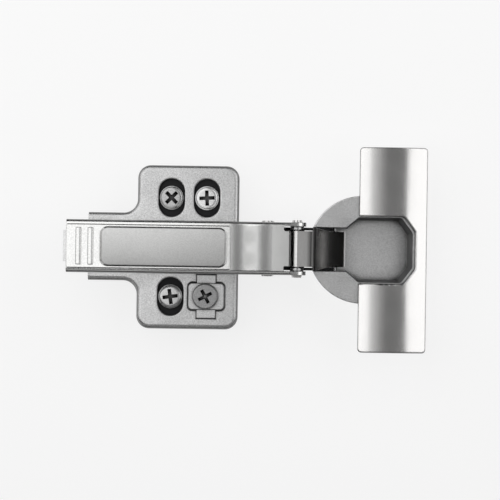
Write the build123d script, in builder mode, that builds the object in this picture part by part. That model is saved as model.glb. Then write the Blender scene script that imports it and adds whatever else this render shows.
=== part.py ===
import os
from math import atan2, cos, degrees, hypot, sin

from build123d import *

os.makedirs("parts", exist_ok=True)

# Soft-close cabinet hinge, drawn with the door open at a right angle.
# X runs toward the door, Y along the cabinet height, Z out from the side panel (Z = 0).

# Sheet, fits and clearances
sheet = 1.2
pin_fit = 0.05
side_gap = 0.2
slide_gap = 0.3

# Hole pattern in the cabinet side and its screws
system_pitch = 32.0
second_column = 11.45
screw_shank_r = 3.15
screw_neck_r = 2.9
screw_length = 11.0
screw_tip = 1.2
screw_head_r = 3.9
screw_collar = 1.1
screw_crown_r = 3.55
screw_head_top = 4.3
screw_hole_r = 3.3
screw_turns = (45, 8, 3)
recess_depth = 1.2
recess_reach = 2.4
small_reach = 1.8

# Lower plate and height plate
base_thick = 2.0
plate_top = 3.6
plate_rear = -11.0
plate_front = 21.9
plate_half = 26.5
plate_corner_r = 4.2
rim_r = 1.5
rim_foot = 0.25
tongue_rear = -26.8
tongue_half = 11.0
tongue_fillet = 4.5
slot_lip = 0.55
height_travel = 2.0

# Height cam
cam_x = 11.3
cam_y = -15.8
cam_head_r = 4.15
cam_head_thick = 1.1
cam_turn = 28
cam_neck_r = 2.6
cam_offset = 2.83
cam_pin_r = 1.2
cam_web = 0.3
pad_shift = 0.3
pad_long = 12.6
pad_wide = 9.6
pad_corner_r = 1.8
pad_rise = 0.8
pad_bevel = 40
strap_wide = 6.8
strap_long = 2.6
strap_rise = 0.55

# Clip rail, carrier and depth slide inside the arm
rail_wall = 1.0
rail_top = 9.0
rail_rear = -23.0
rail_front = 10.0
rivet_r = 1.5
rivet_head_r = 2.4
rivet_head_thick = 0.8
rivet_x = (-17.0, 2.0)
carrier_wall = 1.0
carrier_top = 10.4
carrier_foot = 4.9
hook_pin_x = 7.6
hook_pin_z = 6.8
hook_pin_r = 1.2
slide_under = 10.5
slide_top = 12.0
slide_wall = 0.5
slide_play = 0.1
slide_rear = -20.0
slide_front = 8.5
slide_foot = 7.5
tilt_x = -17.0
tilt_z = 12.9
tilt_pin_r = 1.1
tilt_ear_r = 2.2
depth_x = -8.0
depth_offset = 2.3
depth_disc_r = 3.0
depth_head_r = 3.4
depth_head_thick = 2.2
depth_pivot_r = 1.4
depth_travel = 2.0
side_x = 4.0
side_screw_r = 2.4
side_neck_r = 1.4
side_foot_r = 2.1

# Release lever
lever_x = -28.0
lever_z = 7.0
lever_pin_r = 1.0
lever_reach = 5.9
lever_tab_top = 12.4
lever_sheet = 1.0
lever_eye_r = 2.2
lever_slot_half = 2.4
coil_r = 1.4
coil_pitch = 0.8
coil_wire_r = 0.25

# Arm
arm_rear = -32.5
arm_half = 8.4
arm_top = 16.5
arm_front_top = 14.5
web_gap = 2.6
arm_foot = 5.0
bend_start = 18.8
bend_end = 32.6
bend_r = 1.5
ear_r = 2.9
notch_long = 1.7
notch_wide = 1.6
thread_pad = 1.0

# Arm cover
cover_margin = 1.4
cover_thick = 0.7
cover_front = 19.4
panel_rear = -21.8
panel_front = 18.3
panel_margin = 0.7
panel_rise = 0.75
panel_drop = 0.3
panel_corner_r = 2.6
panel_bevel = 45
rib_x = -28.5
rib_pitch = 3.8
rib_wide = 1.7
rib_margin = 1.25
rib_rise = 0.3
clip_x = (-2.5, 14.0)
clip_inset = 2.0
clip_wide = 4.0
clip_thick = 0.8
clip_fit = 0.1

# Linkage pivots, X and Z with the door at a right angle
front_x, front_z = 40.6, 9.5
rear_x, rear_z = 31.3, 8.0
cup_x = 62.0
door_face = 3.0
swing_u, swing_w = -8.73, -5.82
guide_u, guide_w = -11.33, -2.39
front_pin_r = 1.3
rear_pin_r = 1.15
swing_pin_r = 1.0
guide_pin_r = 0.9
front_head_r = 1.8
rear_head_r = 2.1
front_head_thick = 0.8
rear_head_thick = 0.5

# Front link: a strap rolled round the front pin and wrapped over the swing pin
strap_thick = 1.1
crook_reach = 4.3
crook_r = 1.6
wrap_back, wrap_rise = 0.17, 1.34
wrap_r = 3.6
swing_boss_r = 2.6
web_reach = 5.0
web_margin = 1.3
web_taper = 5.6
washer_r = 2.2
washer_thick = 0.95

# Rear link: two cheeks outside the strap
cheek_thick = 0.9
cheek_wide = 1.6
elbow_x, elbow_z = 46.7, 3.9
rear_eye_r = 2.3
fork_slot_wide = 2.92
fork_slot_back = 1.2
fork_drop = 0.22
fork_r = 2.1
tail_x, tail_z = 29.5, 5.4
tail_r = 0.9

# Closing spring on the rear pin
spring_r = 1.6
spring_wire_r = 0.3
spring_pitch = 0.75
spring_half = 2.6

# Damper
damper_z = 7.0
damper_r = 2.6
damper_wall = 0.5
damper_rear = 12.6
damper_front = 25.0
holder_front = 21.0
holder_top = 10.6
rod_r = 0.9
rod_head_r = 1.6
rod_head_thick = 1.0
rod_inside = 6.0

# Cup and its cover
cup_r = 17.3
cup_rim = 0.2
rim_drop = 0.5
cup_depth = 11.7
cup_floor = 0.9
cup_ledge = 1.0
cup_foot_r = 2.0
pocket_half = 10.6
pocket_front = 16.3
pocket_nose = 5.6
pocket_taper = 4.0
pocket_corner_r = 1.6
mouth_u = -5.4
throat_u = -1.4
shoulder_u = 12.6
channel_rear = -16.3
pin_seat = 1.6
lip_depth = 3.4
flange_rear = -1.25
flange_front = 20.7
flange_half = 33.2
flange_thick = 1.2
flange_screw_pitch = 48.0
flange_screw_u = 6.0
flange_screw_r = 2.6
cap_wall = 0.8
cap_edge = 1.7
cap_crown = 1.0
cap_corner_r = 1.2
cap_margin = 0.3

# Sizes that follow from the ones above
swing_x, swing_z = cup_x + swing_u, door_face + swing_w
wrap_x, wrap_z = swing_x - wrap_back, swing_z + wrap_rise
crook_x = front_x + crook_reach
web_start = front_x + web_reach
arm_web_front = front_x - web_gap
guide_x, guide_z = cup_x + guide_u, door_face + guide_w
plate_inner = plate_half - sheet
plate_under = plate_top - sheet
tongue_inner = tongue_half - sheet
base_half = plate_inner - height_travel - slide_gap
base_tongue_half = tongue_inner - height_travel - slide_gap
base_rear = plate_rear + sheet + slide_gap
base_front = plate_front - sheet - slide_gap
plate_mid = (plate_rear + plate_front) / 2
arm_inner = arm_half - sheet
slide_half = arm_inner - side_gap
carrier_half = slide_half - slide_wall - slide_play
rail_half = carrier_half - carrier_wall - side_gap
lever_half = rail_half - side_gap
lever_tab_x = lever_x - lever_reach
carrier_rear = lever_x - 3 * lever_pin_r
cover_half = arm_half - cover_margin
panel_half = cover_half - panel_margin
rib_half = cover_half - rib_margin
notch_inner = arm_inner - notch_wide
cheek_inner = arm_inner - slide_gap - cheek_thick
channel_half = arm_inner
web_end_half = cheek_inner - slide_gap
web_half = arm_half - web_margin
knuckle_r = front_pin_r + strap_thick
cup_pin_half = channel_half + pin_seat
slot_wide = 2 * (screw_head_r + side_gap)
slot_long = 2 * (screw_head_r + height_travel + side_gap)
screw_spots = [(0, system_pitch / 2), (0, -system_pitch / 2), (second_column, system_pitch / 2)]
rivet_spots = [(x, 0) for x in rivet_x]
clip_spots = [(x, side * (cover_half - clip_inset)) for x in clip_x for side in (-1, 1)]
notch_spots = [(arm_web_front, side * (notch_inner + arm_inner) / 2) for side in (-1, 1)]
flange_mid = cup_x + (flange_rear + flange_front) / 2
flange_spots = [(cup_x + flange_screw_u, side * flange_screw_pitch / 2) for side in (-1, 1)]
fork_turn = atan2(guide_z - rear_z, guide_x - rear_x)
fork_spot = (guide_x + fork_drop * sin(fork_turn), guide_z - fork_drop * cos(fork_turn))
fork_back = (fork_spot[0] - fork_slot_back * cos(fork_turn), fork_spot[1] - fork_slot_back * sin(fork_turn))
fork_mouth = (fork_spot[0] + 2.4 * fork_r * cos(fork_turn), fork_spot[1] + 2.4 * fork_r * sin(fork_turn))
pad_top = plate_top + pad_rise
panel_top = arm_top + cover_thick + panel_rise


# Round-ended bar between two points of the sketch plane
def bar(start, end, wide):
    run = hypot(end[0] - start[0], end[1] - start[1])
    turn = degrees(atan2(end[1] - start[1], end[0] - start[0]))
    with Locations(((start[0] + end[0]) / 2, (start[1] + end[1]) / 2)):
        SlotCenterToCenter(run, wide, rotation=turn)


# Outline of the cross recess in a screw head whose top lies at the given height
def cross_recess(spot, top, reach, turn):
    with BuildSketch(Plane.XY.offset(top)) as recess:
        with Locations(spot):
            Rectangle(2 * reach, 0.45 * reach, rotation=turn)
            Rectangle(0.45 * reach, 2 * reach, rotation=turn)
    return recess.sketch


# Lower plate, screwed to the cabinet side
with BuildPart() as base_plate:
    with BuildSketch():
        with Locations(((base_rear + base_front) / 2, 0)):
            RectangleRounded(base_front - base_rear, 2 * base_half, plate_corner_r - sheet)
        with Locations(((tongue_rear + sheet + plate_mid) / 2, 0)):
            Rectangle(plate_mid - tongue_rear - sheet, 2 * base_tongue_half)
        with Locations(*screw_spots):
            Circle(screw_hole_r, mode=Mode.SUBTRACT)
        with Locations((cam_x + 0.85 * cam_offset, cam_y)):
            SlotOverall(2 * cam_pin_r + 1.5, 2 * cam_pin_r + slide_gap, mode=Mode.SUBTRACT)
    extrude(amount=base_thick)
    chamfer(base_plate.faces().sort_by(Axis.Z)[-1].outer_wire().edges(), length=0.3)

# Height plate, a folded cross-shaped lid that slides along Y over the lower plate
with BuildPart() as height_plate:
    with BuildSketch(Plane.XY.offset(rim_foot)) as plate_outline:
        with Locations((plate_mid, 0)):
            Rectangle(plate_front - plate_rear, 2 * plate_half)
        with Locations(((tongue_rear + plate_mid) / 2, 0)):
            Rectangle(plate_mid - tongue_rear, 2 * tongue_half)
        outer_corners = [v for v in plate_outline.vertices() if abs(v.Y) > plate_half - 0.01]
        fillet(outer_corners, plate_corner_r)
        inner_corners = [v for v in plate_outline.vertices()
                         if abs(v.X - plate_rear) < 0.01 and abs(v.Y) < tongue_half + 0.01]
        fillet(inner_corners, tongue_fillet)
    extrude(amount=plate_top - rim_foot)
    rim_edges = [e for e in height_plate.faces().sort_by(Axis.Z)[-1].outer_wire().edges()
                 if (e @ 0.5).X > tongue_rear + 0.5]
    fillet(rim_edges, rim_r)
    with BuildSketch(Plane.XY.offset(rim_foot)):
        with Locations((plate_mid, 0)):
            RectangleRounded(plate_front - plate_rear - 2 * sheet, 2 * plate_inner, plate_corner_r - sheet)
        with Locations(((tongue_rear - sheet + plate_mid) / 2, 0)):
            Rectangle(plate_mid - tongue_rear + sheet, 2 * tongue_inner)
    extrude(amount=plate_under - rim_foot, mode=Mode.SUBTRACT)
    with BuildSketch(Plane.XY.offset(plate_top)):
        with Locations((cam_x + pad_shift, cam_y)):
            RectangleRounded(pad_long, pad_wide, pad_corner_r)
    extrude(amount=pad_rise, taper=pad_bevel)
    with BuildSketch(Plane.XY.offset(plate_top)):
        with Locations((cam_x + pad_shift, cam_y)):
            Rectangle(strap_wide, pad_wide + 2 * strap_long)
    extrude(amount=strap_rise, taper=pad_bevel)
    with BuildSketch(Plane.XY.offset(plate_under)):
        with Locations(*screw_spots):
            SlotOverall(slot_long, slot_wide, rotation=90)
        with Locations((cam_x, cam_y)):
            Circle(cam_neck_r + pin_fit)
        with Locations(*rivet_spots):
            Circle(rivet_r)
    extrude(amount=pad_rise + sheet, mode=Mode.SUBTRACT)
    slot_edges = [e for e in height_plate.edges() if abs((e @ 0.5).Z - plate_top) < 0.01
                  and any(abs((e @ 0.5).X - x) < slot_wide / 2 + pin_fit
                          and abs((e @ 0.5).Y - y) < slot_long / 2 + pin_fit for x, y in screw_spots)]
    fillet(slot_edges, slot_lip)

# Three system screws through the lower plate, one node
with BuildPart() as euro_screws:
    with BuildSketch(Plane.XY.offset(base_thick)):
        with Locations(*screw_spots):
            Circle(screw_crown_r)
    extrude(amount=screw_head_top - base_thick)
    fillet(euro_screws.edges().group_by(Axis.Z)[-1], 0.5)
    with BuildSketch(Plane.XY.offset(base_thick)):
        with Locations(*screw_spots):
            Circle(screw_head_r)
    extrude(amount=screw_collar)
    with BuildSketch(Plane.XY.offset(base_thick)):
        with Locations(*screw_spots):
            Circle(screw_neck_r)
    extrude(amount=-base_thick - slide_gap)
    with BuildSketch(Plane.XY.offset(-slide_gap)):
        with Locations(*screw_spots):
            Circle(screw_shank_r)
    extrude(amount=slide_gap - screw_length)
    chamfer(euro_screws.edges().group_by(Axis.Z)[0], length=screw_tip)
    for spot, turn in zip(screw_spots, screw_turns):
        extrude(cross_recess(spot, screw_head_top, recess_reach, turn), amount=-recess_depth, taper=10,
                mode=Mode.SUBTRACT)

# Height cam, turned in the height plate, its offset pin in the slot of the lower plate
with BuildPart() as height_cam:
    with BuildSketch(Plane.XY.offset(pad_top + pin_fit)):
        with Locations((cam_x, cam_y)):
            Circle(cam_head_r)
    extrude(amount=cam_head_thick)
    fillet(height_cam.edges().group_by(Axis.Z)[-1], 0.5)
    with BuildSketch(Plane.XY.offset(pad_top + pin_fit)):
        with Locations((cam_x, cam_y)):
            Circle(cam_neck_r)
    extrude(amount=base_thick + pin_fit - pad_top)
    with BuildSketch(Plane.XY.offset(plate_under - pin_fit)):
        with Locations((cam_x, cam_y)):
            Circle(cam_neck_r)
        with Locations((cam_x + cam_offset, cam_y)):
            Circle(cam_pin_r)
        make_hull()
    extrude(amount=-cam_web)
    with BuildSketch(Plane.XY.offset(plate_under - pin_fit)):
        with Locations((cam_x + cam_offset, cam_y)):
            Circle(cam_pin_r)
    extrude(amount=-base_thick)
    extrude(cross_recess((cam_x, cam_y), pad_top + pin_fit + cam_head_thick, recess_reach, cam_turn),
            amount=-recess_depth, taper=10, mode=Mode.SUBTRACT)

# Clip rail riveted to the height plate under the arm
with BuildPart() as clip_rail:
    with BuildSketch(Plane.YZ.offset(rail_rear)):
        with Locations((0, (plate_top + rail_top) / 2)):
            Rectangle(2 * rail_half, rail_top - plate_top)
        with Locations((0, (plate_top + rail_wall + rail_top) / 2 + 1)):
            Rectangle(2 * (rail_half - rail_wall), rail_top - plate_top - rail_wall + 2, mode=Mode.SUBTRACT)
    extrude(amount=rail_front - rail_rear)
    with BuildSketch(Plane.XZ):
        with Locations((hook_pin_x, hook_pin_z)):
            Circle(hook_pin_r + pin_fit)
        with Locations((hook_pin_x + 3, hook_pin_z)):
            Rectangle(6, 2 * (hook_pin_r + pin_fit))
    extrude(amount=rail_half + 1, both=True, mode=Mode.SUBTRACT)
    with BuildSketch(Plane.XY.offset(plate_top)):
        with Locations(*rivet_spots):
            Circle(rivet_r)
    extrude(amount=rail_wall, mode=Mode.SUBTRACT)

# Two rivets that hold the rail down
with BuildPart() as rail_rivets:
    with BuildSketch(Plane.XY.offset(plate_under)):
        with Locations(*rivet_spots):
            Circle(rivet_r)
    extrude(amount=sheet + rail_wall)
    with BuildSketch(Plane.XY.offset(plate_top + rail_wall)):
        with Locations(*rivet_spots):
            Circle(rivet_head_r)
    extrude(amount=rivet_head_thick, taper=20)

# Carrier, the inner channel that clips over the rail
with BuildPart() as carrier:
    with BuildSketch(Plane.YZ.offset(carrier_rear)):
        with Locations((0, (carrier_foot + carrier_top) / 2)):
            Rectangle(2 * carrier_half, carrier_top - carrier_foot)
        with Locations((0, (carrier_foot + carrier_top - carrier_wall) / 2 - 1)):
            Rectangle(2 * (carrier_half - carrier_wall), carrier_top - carrier_wall - carrier_foot + 2,
                      mode=Mode.SUBTRACT)
    extrude(amount=rail_front - carrier_rear)
    with BuildSketch(Plane.XY.offset(carrier_top - carrier_wall)):
        with Locations((depth_x, 0)):
            Circle(depth_pivot_r + pin_fit)
        with Locations((side_x, 0)):
            SlotOverall(2 * side_foot_r + 2 * depth_travel + 1.0, 2 * side_foot_r + 1.0)
        with Locations((carrier_rear + 3.2, 0)):
            Rectangle(8, 2 * lever_half + 0.4)
    extrude(amount=carrier_wall, mode=Mode.SUBTRACT)
    with BuildSketch(Plane.XZ):
        with Locations((hook_pin_x, hook_pin_z)):
            Circle(hook_pin_r)
        with Locations((lever_x, lever_z)):
            Circle(lever_pin_r)
    extrude(amount=carrier_half + 1, both=True, mode=Mode.SUBTRACT)

# Cross pin at the front of the carrier, resting in the mouths of the rail
with BuildPart() as hook_pin:
    with BuildSketch(Plane.XZ):
        with Locations((hook_pin_x, hook_pin_z)):
            Circle(hook_pin_r)
    extrude(amount=carrier_half, both=True)

# Depth slide on the carrier, carrying the tilt pin of the arm
with BuildPart() as depth_slide:
    with BuildSketch(Plane.YZ.offset(slide_rear)):
        with Locations((0, (slide_foot + slide_top) / 2)):
            Rectangle(2 * slide_half, slide_top - slide_foot)
        with Locations((0, (slide_foot + slide_under) / 2 - 1)):
            Rectangle(2 * (carrier_half + slide_play), slide_under - slide_foot + 2, mode=Mode.SUBTRACT)
    extrude(amount=slide_front - slide_rear)
    with BuildSketch(Plane.XZ):
        with Locations((tilt_x, slide_top)):
            Rectangle(2 * tilt_ear_r, 2 * (tilt_z - slide_top))
        with Locations((tilt_x, tilt_z)):
            Circle(tilt_ear_r)
    extrude(amount=slide_half - 1.5, both=True)
    with BuildSketch(Plane.XZ):
        with Locations((tilt_x, tilt_z)):
            Circle(tilt_pin_r)
    extrude(amount=slide_half, both=True, mode=Mode.SUBTRACT)
    with BuildSketch(Plane.XY.offset(slide_under)):
        with Locations((depth_x, depth_offset * 0.8)):
            SlotOverall(2 * depth_disc_r + depth_offset + 1.6, 2 * (depth_disc_r + side_gap), rotation=90)
        with Locations((side_x, 0)):
            Circle(side_neck_r + pin_fit)
        with Locations((side_x + 3, 0)):
            Rectangle(6, 2 * (side_neck_r + pin_fit))
    extrude(amount=slide_top - slide_under, mode=Mode.SUBTRACT)

# Tilt pin across the arm and the slide
with BuildPart() as tilt_pin:
    with BuildSketch(Plane.XZ):
        with Locations((tilt_x, tilt_z)):
            Circle(tilt_pin_r)
    extrude(amount=arm_half, both=True)

# Depth screw, an offset disc under a cross head
with BuildPart() as depth_screw:
    with BuildSketch(Plane.XY.offset(slide_under - pin_fit)):
        with Locations((depth_x, 0)):
            Circle(depth_pivot_r)
    extrude(amount=carrier_top - carrier_wall - slide_under + pin_fit)
    with BuildSketch(Plane.XY.offset(slide_under - pin_fit)):
        with Locations((depth_x, depth_offset)):
            Circle(depth_disc_r)
    extrude(amount=slide_top - slide_under + 2 * pin_fit)
    with BuildSketch(Plane.XY.offset(slide_top + pin_fit)):
        with Locations((depth_x, 0)):
            Circle(depth_head_r)
    extrude(amount=depth_head_thick)
    extrude(cross_recess((depth_x, 0), slide_top + pin_fit + depth_head_thick, small_reach, 0),
            amount=-recess_depth, taper=10, mode=Mode.SUBTRACT)

# Side screw, held by its neck in the slide and threaded into the arm
with BuildPart() as side_screw:
    with BuildSketch(Plane.XY.offset(slide_under - 0.1)):
        with Locations((side_x, 0)):
            Circle(side_foot_r)
    extrude(amount=-0.9)
    with BuildSketch(Plane.XY.offset(slide_under - 0.2)):
        with Locations((side_x, 0)):
            Circle(side_neck_r)
    extrude(amount=slide_top - slide_under + 0.4)
    with BuildSketch(Plane.XY.offset(slide_top + 0.1)):
        with Locations((side_x, 0)):
            Circle(side_screw_r)
    extrude(amount=arm_top - sheet - slide_top)
    extrude(cross_recess((side_x, 0), arm_top - sheet + 0.1, small_reach, 20), amount=-recess_depth, taper=10,
            mode=Mode.SUBTRACT)

# Release lever at the rear end, turning on its pin in the carrier
with BuildPart() as release_lever:
    with BuildSketch(Plane.XZ):
        with Locations((lever_x, lever_z)):
            Circle(lever_eye_r)
        bar((lever_x, lever_z), (lever_tab_x + 0.6, lever_z + 0.2), 1.6)
        bar((lever_x, lever_z), (rail_rear - 0.9, lever_z + 0.9), 1.4)
    extrude(amount=lever_half, both=True)
    with BuildSketch(Plane.XZ):
        with Locations((lever_tab_x + lever_sheet / 2, (lever_z + lever_tab_top) / 2)):
            Rectangle(lever_sheet, lever_tab_top - lever_z)
    extrude(amount=lever_half, both=True)
    with BuildSketch(Plane.XZ):
        with Locations((lever_x, lever_z)):
            Circle(lever_pin_r + pin_fit)
    extrude(amount=lever_half, both=True, mode=Mode.SUBTRACT)
    with BuildSketch(Plane.XZ):
        with Locations((lever_x, lever_z)):
            Circle(lever_eye_r + side_gap)
    extrude(amount=lever_slot_half, both=True, mode=Mode.SUBTRACT)

with BuildPart() as lever_pin:
    with BuildSketch(Plane.XZ):
        with Locations((lever_x, lever_z)):
            Circle(lever_pin_r)
    extrude(amount=carrier_half, both=True)

# Return spring of the lever, a coil on the lever pin
with BuildPart() as lever_spring:
    with BuildLine() as lever_coil:
        Helix(coil_pitch, 5 * coil_pitch, coil_r, center=(lever_x, -2.5 * coil_pitch, lever_z),
              direction=(0, 1, 0))
    with BuildSketch(Plane(lever_coil.line @ 0, z_dir=lever_coil.line % 0)):
        RegularPolygon(coil_wire_r, 8)
    sweep(is_frenet=True)

# Arm, a folded channel that steps down toward the cup and ends in two ears
with BuildPart() as hinge_arm:
    with BuildSketch(Plane.XZ):
        with BuildLine():
            Line((arm_rear, arm_foot), (arm_rear, arm_top))
            Line((arm_rear, arm_top), (bend_start, arm_top))
            Spline((bend_start, arm_top), (bend_end, arm_front_top), tangents=((1, 0), (1, 0)))
            Line((bend_end, arm_front_top), (arm_web_front, arm_front_top))
            Line((arm_web_front, arm_front_top), (front_x, front_z + ear_r))
            ThreePointArc((front_x, front_z + ear_r), (front_x + ear_r, front_z), (front_x, front_z - ear_r))
            Line((front_x, front_z - ear_r), (rear_x + 4.0, arm_foot))
            Line((rear_x + 4.0, arm_foot), (arm_rear, arm_foot))
        make_face()
    extrude(amount=arm_half, both=True)
    fold_edges = [e for e in hinge_arm.edges()
                  if abs(abs((e @ 0.5).Y) - arm_half) < 0.01 and (e @ 0.5).Z > arm_front_top - 0.01
                  and abs((e @ 0).Y - (e @ 1).Y) < 0.01 and abs((e @ 0).X - (e @ 1).X) > 3]
    fillet(fold_edges, bend_r)
    with BuildSketch(Plane.XZ):
        with BuildLine():
            Line((arm_rear - 1, arm_foot - 1), (arm_rear - 1, arm_top - sheet))
            Line((arm_rear - 1, arm_top - sheet), (bend_start - 0.3, arm_top - sheet))
            Spline((bend_start - 0.3, arm_top - sheet), (bend_end - 0.3, arm_front_top - sheet),
                   tangents=((1, 0), (1, 0)))
            Line((bend_end - 0.3, arm_front_top - sheet), (arm_web_front, arm_front_top - sheet))
            Line((arm_web_front, arm_front_top - sheet), (arm_web_front, arm_top))
            Line((arm_web_front, arm_top), (front_x + ear_r + 1, arm_top))
            Line((front_x + ear_r + 1, arm_top), (front_x + ear_r + 1, arm_foot - 1))
            Line((front_x + ear_r + 1, arm_foot - 1), (arm_rear - 1, arm_foot - 1))
        make_face()
    extrude(amount=arm_inner, both=True, mode=Mode.SUBTRACT)
    with BuildSketch(Plane.XY.offset(arm_foot)):
        with Locations(*notch_spots):
            RectangleRounded(2 * notch_long, notch_wide, notch_wide / 3)
        with Locations((depth_x, 0)):
            SlotOverall(2 * depth_travel + 4.5, 4.5)
    extrude(amount=arm_top, mode=Mode.SUBTRACT)
    with BuildSketch(Plane.XY.offset(arm_top - sheet)):
        with Locations((side_x, 0)):
            SlotOverall(2 * depth_travel + 8, 8)
    extrude(amount=-thread_pad)
    with BuildSketch(Plane.XY.offset(arm_top - sheet - thread_pad)):
        with Locations((side_x, 0)):
            Circle(side_screw_r + side_gap)
        with Locations(*clip_spots):
            Rectangle(clip_wide + 2 * clip_fit, clip_thick + 2 * clip_fit)
    extrude(amount=sheet + thread_pad, mode=Mode.SUBTRACT)
    with BuildSketch(Plane.XZ):
        with Locations((front_x, front_z)):
            Circle(front_pin_r)
        with Locations((rear_x, rear_z)):
            Circle(rear_pin_r)
        with Locations((tilt_x, tilt_z)):
            Circle(tilt_pin_r + pin_fit)
    extrude(amount=arm_half + 1, both=True, mode=Mode.SUBTRACT)

# Cover clipped to the top of the arm
with BuildPart() as arm_cover:
    with BuildSketch(Plane.XY.offset(arm_top)):
        with Locations(((arm_rear + cover_front) / 2, 0)):
            RectangleRounded(cover_front - arm_rear, 2 * cover_half, 0.6)
    extrude(amount=cover_thick)
    chamfer(arm_cover.edges().group_by(Axis.Z)[-1], length=0.3)
    with BuildSketch(Plane.XY.offset(arm_top + cover_thick)):
        with Locations(((panel_rear + panel_front) / 2, 0)):
            RectangleRounded(panel_front - panel_rear, 2 * panel_half, panel_corner_r)
    extrude(amount=panel_rise, taper=panel_bevel)
    with BuildSketch(Plane.YZ.offset(panel_rear)):
        with BuildLine():
            ThreePointArc((-panel_half, panel_top - panel_drop), (0, panel_top),
                          (panel_half, panel_top - panel_drop))
            Polyline((panel_half, panel_top - panel_drop), (panel_half, panel_top + panel_rise),
                     (-panel_half, panel_top + panel_rise), (-panel_half, panel_top - panel_drop))
        make_face()
    extrude(amount=panel_front - panel_rear, mode=Mode.SUBTRACT)
    with BuildSketch(Plane.XZ):
        with Locations((rib_x, arm_top + cover_thick), (rib_x + rib_pitch, arm_top + cover_thick)):
            Ellipse(rib_wide / 2, rib_rise)
        with Locations((rib_x, arm_top), (rib_x + rib_pitch, arm_top)):
            Rectangle(2 * rib_wide, 2 * cover_thick, mode=Mode.SUBTRACT)
    extrude(amount=rib_half, both=True)
    with BuildSketch(Plane.XY.offset(arm_top)):
        with Locations(*clip_spots):
            Rectangle(clip_wide, clip_thick)
    extrude(amount=-sheet - 0.5)

# Front pin through the ears, headed on both sides
with BuildPart() as front_pin:
    with BuildSketch(Plane.XZ):
        with Locations((front_x, front_z)):
            Circle(front_pin_r)
    extrude(amount=arm_half, both=True)
    with BuildSketch(Plane.XZ.offset(arm_half)):
        with Locations((front_x, front_z)):
            Circle(front_head_r)
    extrude(amount=front_head_thick, taper=20)
    mirror(about=Plane.XZ)

with BuildPart() as rear_pin:
    with BuildSketch(Plane.XZ):
        with Locations((rear_x, rear_z)):
            Circle(rear_pin_r)
    extrude(amount=arm_half, both=True)
    with BuildSketch(Plane.XZ.offset(arm_half)):
        with Locations((rear_x, rear_z)):
            Circle(rear_head_r)
    extrude(amount=rear_head_thick, taper=20)
    mirror(about=Plane.XZ)

# Pair of washers between the ears and the knuckle
with BuildPart() as knuckle_washers:
    with BuildSketch(Plane.XZ.offset(arm_inner - pin_fit - washer_thick)):
        with Locations((front_x, front_z)):
            Circle(washer_r)
            Circle(front_pin_r, mode=Mode.SUBTRACT)
    extrude(amount=washer_thick)
    mirror(about=Plane.XZ)

# Front link
with BuildPart() as front_link:
    with BuildSketch(Plane.XZ):
        with Locations((front_x, front_z)):
            Circle(knuckle_r)
        with Locations((crook_x, front_z + knuckle_r - crook_r)):
            Circle(crook_r)
        with Locations((wrap_x, wrap_z)):
            Circle(wrap_r)
        make_hull()
    extrude(amount=web_half, both=True)
    with BuildSketch(Plane.XZ):
        with Locations((front_x, front_z)):
            Circle(knuckle_r - strap_thick)
        with Locations((crook_x, front_z + knuckle_r - crook_r)):
            Circle(crook_r - strap_thick)
        with Locations((wrap_x, wrap_z)):
            Circle(wrap_r - strap_thick)
        make_hull()
    extrude(amount=web_half, both=True, mode=Mode.SUBTRACT)
    with BuildSketch(Plane.XZ):
        with BuildLine():
            Polyline((front_x, front_z), (wrap_x, wrap_z), (wrap_x + wrap_r / 2, wrap_z - 3 * wrap_r),
                     (front_x - 3 * knuckle_r, wrap_z - 3 * wrap_r), (front_x - 3 * knuckle_r, front_z),
                     close=True)
        make_face()
    extrude(amount=web_half, both=True, mode=Mode.SUBTRACT)
    with BuildSketch(Plane.XZ):
        with Locations((front_x, front_z)):
            Circle(knuckle_r)
        with Locations((swing_x, swing_z)):
            Circle(swing_boss_r)
    extrude(amount=web_end_half, both=True)
    with BuildSketch(Plane.XZ):
        with Locations((front_x, front_z)):
            Circle(front_pin_r + pin_fit)
        with Locations((swing_x, swing_z)):
            Circle(swing_pin_r + pin_fit)
    extrude(amount=web_half, both=True, mode=Mode.SUBTRACT)
    with BuildSketch(Plane.XY.offset(wrap_z - 2 * wrap_r)):
        with BuildLine():
            Polyline((front_x - 2 * knuckle_r, 0), (front_x - 2 * knuckle_r, web_end_half),
                     (web_start, web_end_half),
                     (web_start, web_half), (web_start + web_taper, web_end_half),
                     (wrap_x + 2 * wrap_r, web_end_half), (wrap_x + 2 * wrap_r, 0), close=True)
        make_face()
        mirror(about=Plane.XZ)
    extrude(amount=arm_top - wrap_z + 2 * wrap_r, mode=Mode.INTERSECT)

# Rear link, two cheeks joined by a bar at the tail and a web
with BuildPart() as rear_link:
    with BuildSketch(Plane.XZ.offset(cheek_inner)):
        with Locations((rear_x, rear_z)):
            Circle(rear_eye_r)
        bar((rear_x, rear_z), (elbow_x, elbow_z), cheek_wide)
        bar((elbow_x, elbow_z), (guide_x, guide_z), cheek_wide)
        bar((rear_x, rear_z), (tail_x, tail_z), 2 * tail_r)
        with Locations(fork_spot):
            Circle(fork_r)
        bar(fork_spot, fork_back, 2 * fork_r)
        with Locations((rear_x, rear_z)):
            Circle(rear_pin_r + pin_fit, mode=Mode.SUBTRACT)
    extrude(amount=cheek_thick)
    with BuildSketch(Plane.XZ.offset(cheek_inner)):
        bar(fork_back, fork_mouth, fork_slot_wide)
    extrude(amount=cheek_thick, mode=Mode.SUBTRACT)
    mirror(about=Plane.XZ)
    with BuildSketch(Plane.XZ):
        with Locations((tail_x, tail_z)):
            Circle(tail_r)
        bar((rear_x + 4.5, rear_z - 2.0), (elbow_x - 4.0, elbow_z + 0.5), 0.9)
    extrude(amount=cheek_inner, both=True)

# Closing spring coiled round the rear pin
with BuildPart() as closing_spring:
    with BuildLine() as spring_coil:
        Helix(spring_pitch, 2 * spring_half, spring_r, center=(rear_x, -spring_half, rear_z),
              direction=(0, 1, 0))
    with BuildSketch(Plane(spring_coil.line @ 0, z_dir=spring_coil.line % 0)):
        RegularPolygon(spring_wire_r, 8)
    sweep(is_frenet=True)

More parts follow.
